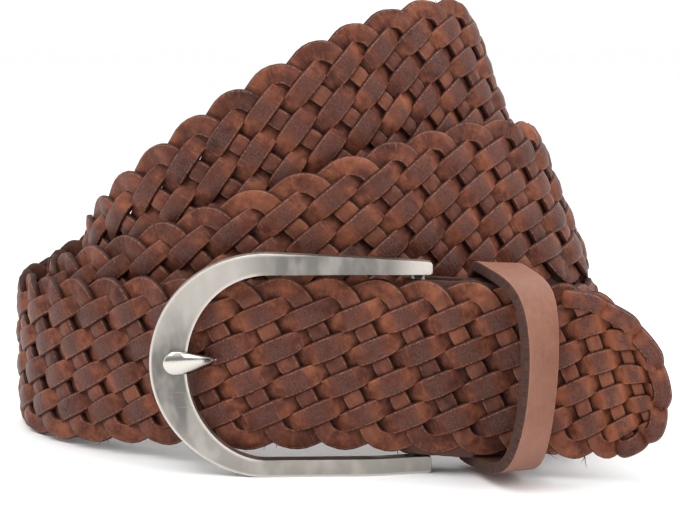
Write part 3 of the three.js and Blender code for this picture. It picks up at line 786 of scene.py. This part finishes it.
buckleReach = Vector((tailAtBow.x - barPlace.x, bowDepth - barPlace.y, 0.0)).normalized()
buckleFace = up.cross(buckleReach)


def bucklePoint(reach, high, face):
    return Vector((barPlace.x, barPlace.y, high)) + buckleReach * reach + buckleFace * face


# 1 on the edge of a half ellipse of the bow, less inside it.
def ovalShare(past, high, reach, middle, half):
    along, tall = past / reach, (high - middle) / half
    return along * along + tall * tall


def nickel(name, tone, brushed):
    made, b = material(name)
    long, high, face = b.attribute("reach"), b.attribute("high"), b.attribute("face")
    hairs = b.noise(b.triple(long * 0.12, high * 9.0, face * 9.0), 1.0, 3.0, 0.7)
    patches = b.noise(b.triple(long * 0.25, high * 0.12, face * 0.3), 1.0, 2.0, 0.5)
    marks = b.noise(b.triple(long * 0.6, high * 3.0, face), 1.0, 4.0, 0.75)

    # painted reflection: the faces are painted darker than the bevels beside them, as the studio's dim front
    # reflected in them, one tone each for the arc, the upper arm, the lower arm and the arm's end
    upper = b.smooth(high, 20.0, 30.0)
    plain = b.over(shade(tone, 0.17),
                   (b.smooth(high, 24.0, 40.0) * b.smooth(long, 26.0, 40.0), shade(tone, 0.62)),
                   (b.smooth(long, 34.0, 20.0) * upper, shade(tone, 0.22)),
                   (b.smooth(high, 14.0, 4.0), shade(tone, 0.42)),
                   (b.smooth(long, 8.0, -1.0) * upper, shade(tone, 0.9)))
    past = b.maths("MAXIMUM", long - bowStart, 0.0)
    half = buckle["bowHeight"] / 2
    # highlightRim: the bevels round the bow's outer and inner edge keep the full light tone, a painted
    # highlight, while the faces inside take the painted reflection tones
    outer = b.smooth(ovalShare(past, high, buckle["bowReach"], half, half), 0.94, 0.985)
    inner = b.smooth(ovalShare(past, high, openingReach, openingMiddle, openingHeight / 2), 1.09, 1.02)
    highlightRim = b.maths("MAXIMUM", outer, inner * b.smooth(past, 0.0, 4.0))
    streak = b.smooth(b.noise(b.triple(long * 0.1, high * 1.6, 0.0), 1.0, 2.0), 0.58, 0.7) \
        * b.smooth(long, 44.0, 50.0) * b.smooth(high, 24.0, 19.0) * b.smooth(high, 10.0, 16.0)
    colour = b.over(tone, (hairs * brushed, shade(tone, 0.72)),
                    (b.smooth(patches, 0.45, 0.75) * brushed * 0.5, shade(tone, 0.66)),
                    ((1.0 - highlightRim) * brushed, plain),
                    (b.smooth(patches, 0.4, 0.7) * brushed * 0.35, shade(tone, 0.85)),
                    (hairs * brushed * 0.4, shade(tone, 0.3)), (streak * brushed * 0.7, shade(tone, 0.35)))
    rough = 0.13 + brushed * (0.2 + hairs * 0.12) + b.smooth(marks, 0.55, 0.8) * 0.08
    finishMaterial(b, {"Base Color": colour, "Metallic": 1.0, "Roughness": rough},
                   (hairs * brushed + marks * 0.2, 0.22, 0.00012))
    return made


# Pairs of outer and inner edge places, from the lower arm's end round the bow to the upper arm's.
def bowEdges():
    middle = buckle["bowHeight"] / 2
    lower = [((armEnd + along, inset), (armEnd + along, openingFloor - inset))
             for along, inset in buckle["rounding"]]
    upper = [((armEnd + along, buckle["bowHeight"] - buckle["armTaper"] - inset),
              (armEnd + along, openingTop + inset)) for along, inset in reversed(buckle["rounding"])]
    arc = []
    for i in range(1, buckle["armSteps"]):
        share = i / buckle["armSteps"]
        reach = armEnd + (bowStart - armEnd) * share
        lower.append(((reach, 0.0), (reach, openingFloor)))
        reach = bowStart + (armEnd - bowStart) * share
        arc.append(((reach, buckle["bowHeight"] - buckle["armTaper"] * share), (reach, openingTop)))
    for i in range(buckle["bowSteps"] + 1):
        angle = math.pi * (i / buckle["bowSteps"] - 0.5)
        lower.append(((bowStart + buckle["bowReach"] * math.cos(angle), middle + middle * math.sin(angle)),
                      (bowStart + openingReach * math.cos(angle),
                       openingMiddle + openingHeight / 2 * math.sin(angle))))
    return lower + arc + upper


def horseshoe():
    def eased(share):
        return share * share * (3 - 2 * share)

    half = buckle["thickness"] / 2
    rings = []
    for outer, inner in bowEdges():
        ring = []
        for (reach, high), side in ((outer, half), (inner, half), (inner, -half), (outer, -half)):
            share = held((reach - armEnd) / buckle["archRun"])
            turned = held((reach - bowStart) / buckle["bowReach"])
            bend = buckle["archAtBar"] + (buckle["arch"] - buckle["archAtBar"]) * eased(share)
            bend += (buckle["archAtBow"] - buckle["arch"]) * eased(turned)
            drop = buckle["endDrop"] * (1 - share) * (high > buckle["bowHeight"] / 2)
            ring.append(bucklePoint(reach, high - drop, side + bend))
        rings.append(ring)
    return loft("buckle_bow", rings)


def hingeBar():
    low, high = openingFloor - buckle["barSunk"], openingTop + buckle["barSunk"]
    rings = []
    for height, size in ((low, 0.02), (low, 1.0), (high, 1.0), (high, 0.02)):
        radius = buckle["barRadius"] * size
        rings.append([bucklePoint(radius * math.cos(turn), height, radius * math.sin(turn))
                      for turn in circle(buckle["barSides"])])
    return loft("hinge_bar", rings)


# Distances along, up and through the buckle, kept on the mesh for its brushing.
def markBuckle(piece):
    values = {"reach": [], "high": [], "face": []}
    for v in piece.data.vertices:
        p = v.co / millimetre - shift
        flat = Vector((p.x - barPlace.x, p.y - barPlace.y, 0.0))
        values["reach"].append(flat.dot(buckleReach))
        values["high"].append(p.z)
        values["face"].append(flat.dot(buckleFace))
    for label, numbers in values.items():
        piece.data.attributes.new(label, "FLOAT", "POINT").data.foreach_set("value", numbers)


def makeBuckle():
    brushed = nickel("brushed nickel", srgb(236, 229, 220), 1.0)
    bow = horseshoe()
    edge = bow.modifiers.new("bevel", "BEVEL")
    edge.width, edge.segments = buckle["bevel"] * millimetre, buckle["bevelSteps"]
    edge.limit_method, edge.angle_limit = "ANGLE", math.radians(buckle["bevelAngle"])
    edge.harden_normals = True
    settle(bow)
    for piece in (bow, hingeBar()):
        markBuckle(piece)
        piece.data.materials.append(brushed)
        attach(piece, "root")
        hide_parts("buckle_frame")
    print("buckle", len(bow.data.polygons))


# Prong: (distance from the bar, face side) along its middle, from its eye to its blunt end
prong = {
    "width": 5.2, "thickness": 2.3, "height": 24.2, "sides": 28, "steps": 8, "squareness": 0.8,
    "stem": [(3.4, -0.3), (6.0, -1.2), (12.0, -4.6), (20.0, -5.6), (28.0, -5.8), (36.0, -5.8), (42.0, -5.4),
             (45.4, -3.2), (47.4, -0.4), (48.8, 2.0), (50.4, 3.8)], "stemShare": 0.36,
    "head": [(42.6, 0.5), (44.4, 1.5), (46.4, 2.7), (48.8, 3.9), (51.2, 4.5), (53.6, 4.2)],
    "pointed": 7.2, "point": 0.03, "pointCurve": 0.7,
    "eyeWall": 1.1, "eyeHalf": 2.6, "eyeInset": 0.2, "eyeRound": 0.3, "eyeSides": 40, "gap": 0.3,
}


def prongBar(name, rows, share):
    line = splineRows(prong[rows], prong["steps"])
    start, end = line[0][0], line[-1][0]
    rings = []
    for i, (reach, face) in enumerate(line):
        before, after = line[max(i - 1, 0)], line[min(i + 1, len(line) - 1)]
        run = Vector((after[0] - before[0], after[1] - before[1])).normalized()
        left = min(1.0, (end - reach) / (prong["width"] * 0.5))
        size = max(math.sqrt(max(1 - (1 - left) ** 2, 0.0)), 0.02)
        if rows == "head":
            size *= max(prong["point"], min(1.0, (reach - start) / prong["pointed"])) ** prong["pointCurve"]
        ring = []
        for turn in circle(prong["sides"]):
            wide = signedPart(math.sin(turn), prong["squareness"]) * share
            lift = math.cos(turn) * prong["thickness"] / 2 * size ** prong["squareness"]
            ring.append(bucklePoint(reach - run.y * lift, prong["height"] + wide * prong["width"] / 2 * size,
                                    face + run.x * lift))
        rings.append(ring)
    return loft(name, rings)


def prongEye():
    inner = buckle["barRadius"] + prong["gap"]
    outer = inner + prong["eyeWall"]
    half, inset, cut = prong["eyeHalf"], prong["eyeInset"], prong["eyeRound"]
    section = [(inner, inset - half), (inner + inset, -half), (outer - cut, -half), (outer, cut - half)]
    section += [(r, -h) for r, h in reversed(section)]
    rings = []
    for turn in circle(prong["eyeSides"]):
        rings.append([bucklePoint(r * math.cos(turn), prong["height"] + h, r * math.sin(turn))
                      for r, h in section])
    return loft("prong_eye", rings, closed=True)


def makeProng():
    polished = nickel("polished nickel", srgb(198, 193, 186), 0.0)
    head, stem = prongBar("prong", "head", 1.0), prongBar("prong_stem", "stem", prong["stemShare"])
    for piece in (head, stem, prongEye()):
        markBuckle(piece)
        piece.data.materials.append(polished)
        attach(piece, "root")
        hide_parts("buckle_pin")
        print(piece.name, len(piece.data.polygons))


strap = {
    "tabWidth": 37.4, "tabDrop": 0.3, "tabThickness": 1.3, "tabLength": 20.0, "tabFit": 0.45, "corner": 0.35,
    "wave": 0.03, "steps": 20, "slotHeight": 6.6, "slotDepth": 16.0, "slotReach": (-4.5, 8.5),
}

keeper = {
    "width": 10.0, "thickness": 2.4, "height": 44.0, "depth": 23.2, "place": 11.5, "lift": 0.5, "slack": 1.9,
    "corner": 0.42, "wave": 0.05, "steps": 12, "narrowing": 0.1, "push": 0.8,
}

# The keeper's loop from the middle of its back: out, up, push along the strap, turn in degrees.
keeperRows = [
    (0, 0, -0.05, 0), (0, 0.5, -0.05, 0), (0, 0.88, -0.03, 3), (0.1, 1.02, 0.08, 10),
    (0.34, 1.02, 0.32, 22), (0.66, 1.03, 0.66, 34), (0.96, 0.91, 0.95, 40), (1.02, 0.5, 1.13, 47),
    (1.02, 0, 1.18, 48), (1.02, -0.5, 1.13, 47), (0.96, -0.91, 0.95, 40), (0.66, -1.03, 0.66, 34),
    (0.34, -1.02, 0.32, 22), (0.1, -1.02, 0.08, 10), (0, -0.88, -0.03, 3), (0, -0.5, -0.05, 0),
]


def stripLeather(name, deep, fair, edgeDeep, edgeFair, grain):
    made, b = material(name)
    long, wide, cut, inner = (b.attribute(label) for label in ("lengthway", "crossway", "cut", "inside"))
    skin = b.triple(long, wide, inner * 5.0)
    broad = b.noise(skin, 0.12, 3.0, 0.55)
    mottle = b.noise(skin, 0.7, 4.0, 0.6)
    pores = b.noise(skin, grain, 3.0, 0.7)
    fibres = b.noise(b.triple(long * 2.2, wide * 3.5, inner * 7.0), 1.0, 4.0, 0.75)
    # a lighter line near both edges, broken up by the fibres: painted highlight and edge wear
    wearAndHighlight = b.smooth(b.maths("ABSOLUTE", wide), 4.35, 4.65) * b.smooth(fibres, 0.35, 0.6)
    raw = b.ramp(fibres, [(0.3, edgeDeep), (0.72, edgeFair)])
    colour = b.over(b.ramp(b.clamp(broad * 0.5 + mottle * 0.5), [(0.3, deep), (0.7, fair)]),
                    (b.smooth(pores, 0.6, 0.75) * 0.35, shade(deep, 0.6)), (wearAndHighlight * 0.6, shade(fair, 1.35)),
                    (b.smooth(cut, 0.25, 0.6), raw), (b.smooth(inner, 0.3, 0.7) * (1.0 - cut), raw))
    rough = 0.5 + (mottle - 0.5) * 0.25 + cut * 0.3
    relief = pores * 0.35 * (1.0 - cut) + fibres * (0.12 + cut * 1.6) + mottle * 0.25
    finishMaterial(b, {"Base Color": colour, "Roughness": rough, "Specular IOR Level": 0.4},
                   (relief, 0.5, 0.0003))
    return made


# Stations are (place, outward, across, distance along) for stripPiece.
def keeperStations():
    base = frameAt(beltLength - keeper["place"])
    back = -(belt["thickness"] / 2 + strap["tabFit"] + strap["tabThickness"] + keeper["slack"]
             + keeper["thickness"] / 2)
    rows = []
    for out, high, push, turn in keeperRows:
        narrowed = 1.0 - keeper["narrowing"] * (1 - (1 - min(out, 1.0)) ** 2)
        rows.append((back + out * keeper["depth"],
                     keeper["lift"] + high * narrowed * (keeper["height"] - keeper["thickness"]) / 2,
                     -push * keeper["push"] * keeper["width"], turn))
    line = [(pointFrom(base, out, across, along), math.radians(turn))
            for out, across, along, turn in splineRows(rows, keeper["steps"], closed=True)]
    stations, reached = [], 0.0
    for i, (place, turn) in enumerate(line):
        travel = (line[(i + 1) % len(line)][0] - line[i - 1][0]).normalized()
        wide = base["travel"] * -math.cos(turn) - base["out"] * math.sin(turn)
        wide = (wide - travel * wide.dot(travel)).normalized()
        reached += (place - line[i - 1][0]).length if i else 0.0
        stations.append((place, travel.cross(wide).normalized(), wide, reached))
    return stations


# Along the strap's front, round the bar, and back along its inner side.
def tabStations():
    ply = belt["thickness"] / 2 + strap["tabFit"] + strap["tabThickness"] / 2
    steps, last = strap["steps"], frames[-1]
    flat = [frameAt(beltLength - strap["tabLength"] * (1 - i / steps)) for i in range(steps)]
    places = [(pointFrom(f, ply, -strap["tabDrop"]), f["out"], f["across"]) for f in flat]
    for i in range(steps + 1):
        turn = math.pi * i / steps
        out = last["out"] * math.cos(turn) + last["travel"] * math.sin(turn)
        places.append((barPlace + out * ply - last["across"] * strap["tabDrop"], out, last["across"]))
    places += [(pointFrom(f, -ply, -strap["tabDrop"]), -f["out"], f["across"]) for f in reversed(flat)]
    reached, stations = 0.0, []
    for i, (place, out, wide) in enumerate(places):
        reached += (place - places[i - 1][0]).length if i else 0.0
        stations.append((place, out, wide, reached))
    return stations


def roundedBar(thickness, width, corner):
    points = []
    for o, a, first in ((1, 1, 0), (-1, 1, 1), (-1, -1, 2), (1, -1, 3)):
        for i in range(5):
            turn = math.pi / 2 * (first + i / 4)
            points.append((o * (thickness / 2 - corner) + corner * math.cos(turn),
                           a * (width / 2 - corner) + corner * math.sin(turn)))
    full = []
    for i, (o, a) in enumerate(points):
        o2, a2 = points[(i + 1) % len(points)]
        steps = max(1, round(math.hypot(o2 - o, a2 - a) / 0.9))
        full += [(o + (o2 - o) * k / steps, a + (a2 - a) * k / steps) for k in range(steps)]
    return full


def stripPiece(name, stations, sizes, leather, closed):
    thickness, width, corner, wave = sizes
    section = roundedBar(thickness, width, corner)
    rings, marks = [], {"lengthway": [], "crossway": [], "cut": [], "inside": []}
    for place, out, wide, reached in stations:
        ring = []
        for o, a in section:
            edge = max(0.0, abs(a) - (width / 2 - corner * 1.2)) / (corner * 1.2)
            rough = wave * edge * (math.sin(reached * 2.3 + a) + 0.6 * math.sin(reached * 5.1 + o * 3.0))
            ring.append(place + out * o + wide * (a + rough))
        rings.append(ring)
        marks["lengthway"].append([reached] * len(section))
        marks["crossway"].append([a for o, a in section])
        marks["cut"].append([held((abs(a) - (width / 2 - corner)) / corner) for o, a in section])
        marks["inside"].append([1.0 if o < -thickness / 4 else 0.0 for o, a in section])
    piece = loft(name, rings, closed, **marks)
    piece.data.materials.append(leather)
    return piece


def makeKeeper():
    leather = stripLeather("keeper leather", srgb(117, 74, 57), srgb(147, 99, 79), srgb(26, 14, 11),
                           srgb(90, 57, 43), 5.0)
    sizes = keeper["thickness"], keeper["width"], keeper["corner"], keeper["wave"]
    piece = stripPiece("keeper_strip", keeperStations(), sizes, leather, True)
    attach(piece, "root")
    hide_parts("keeper_loop")
    print("keeper", len(piece.data.polygons))


def makeTab():
    # painted shade: the tab's tones are darker than the keeper's, for the shade it lies in behind the tail
    leather = stripLeather("tab leather", srgb(64, 36, 28), srgb(98, 58, 45), srgb(38, 22, 18),
                           srgb(84, 54, 42), 4.0)
    sizes = strap["tabThickness"], strap["tabWidth"], strap["corner"], strap["wave"]
    piece = stripPiece("tab_strip", tabStations(), sizes, leather, False)
    # the prong's eye has its slot in the fold
    half, deep = strap["slotHeight"] / 2, strap["slotDepth"] / 2
    corners = ((-half, -deep), (half, -deep), (half, deep), (-half, deep))
    cutter = loft("tab_slot", [[bucklePoint(reach, prong["height"] + high, face) for high, face in corners]
                               for reach in strap["slotReach"]])
    slotCut = piece.modifiers.new("slot", "BOOLEAN")
    slotCut.operation, slotCut.object, slotCut.solver = "DIFFERENCE", cutter, "EXACT"
    settle(piece)
    bpy.data.objects.remove(cutter)
    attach(piece, "root")
    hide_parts("buckle_tab")
    print("tab", len(piece.data.polygons))


makeBuckle()
makeProng()
makeTab()
makeKeeper()


# Camera, floor and light; a lamp is its name, place, power and side
studio = {
    "aim": (0.0, -42.0, 45.2), "distance": 400.0, "elevation": 8.0, "lens": 101.01, "sensor": 36.0,
    "floorSide": 6000.0, "floorTone": (0.965, 0.965, 0.965, 1.0),
    "wall": (1.0, 1.0, 1.0), "openFront": (0.33, 0.33, 0.34), "glow": 1.1, "lampAim": (0.0, 0.0, 30.0),
    "lamps": [("key", (-260, -320, 620), 1.9, 400), ("fill", (480, -300, 380), 1.2, 400),
              ("top", (0, 120, 700), 2.3, 700)],
}


def placeCamera():
    aim = (Vector(studio["aim"]) + shift) * millimetre
    lift = math.radians(studio["elevation"])
    view = Vector((0.0, math.cos(lift), -math.sin(lift)))
    camera = linked("camera", bpy.data.cameras.new("camera"))
    camera.data.lens, camera.data.sensor_width = studio["lens"], studio["sensor"]
    camera.data.clip_start, camera.data.clip_end = 0.01, 20.0
    camera.location = aim - view * studio["distance"] * millimetre
    camera.rotation_euler = view.to_track_quat("-Z", "Y").to_euler()
    bpy.context.scene.camera = camera


def layFloor():
    side = studio["floorSide"] * millimetre / 2
    mesh = bpy.data.meshes.new("floor")
    mesh.from_pydata([(-side, -side, 0), (side, -side, 0), (side, side, 0), (-side, side, 0)], [],
                     [(0, 1, 2, 3)])
    floor = linked("floor", mesh)
    made, b = material("white table")
    finishMaterial(b, {"Base Color": studio["floorTone"], "Roughness": 0.9, "Specular IOR Level": 0.1})
    mesh.materials.append(made)


# White behind and above the belt, and dimmer on the camera's side, as a studio's open front.
def lightWorld():
    world = bpy.data.worlds.new("studio")
    world.use_nodes = True
    world.node_tree.nodes.clear()
    b = Bench(world.node_tree)
    around = b.add("ShaderNodeTexCoord", None, None, "Generated")
    deep = b.add("ShaderNodeSeparateXYZ", None, {"Vector": around}, "Y")
    tall = b.add("ShaderNodeSeparateXYZ", None, {"Vector": around}, "Z")
    front = b.smooth(deep, -0.05, -0.55) * b.smooth(tall, 0.75, 0.25)
    tone = b.blend(front, studio["wall"], studio["openFront"])
    glow = b.add("ShaderNodeBackground", None, {"Color": tone, "Strength": studio["glow"]}, "Background")
    b.add("ShaderNodeOutputWorld", None, {"Surface": glow})
    bpy.context.scene.world = world
    for label, place, power, side in studio["lamps"]:
        lamp = linked(label, bpy.data.lights.new(label, "AREA"))
        lamp.data.energy, lamp.data.size = power, side * millimetre
        lamp.location = Vector(place) * millimetre
        toBelt = Vector(studio["lampAim"]) * millimetre - lamp.location
        lamp.rotation_euler = toBelt.to_track_quat("-Z", "Y").to_euler()


bpy.context.scene.view_settings.view_transform = "Standard"
placeCamera()
layFloor()
lightWorld()
print("studio", len(studio["lamps"]))
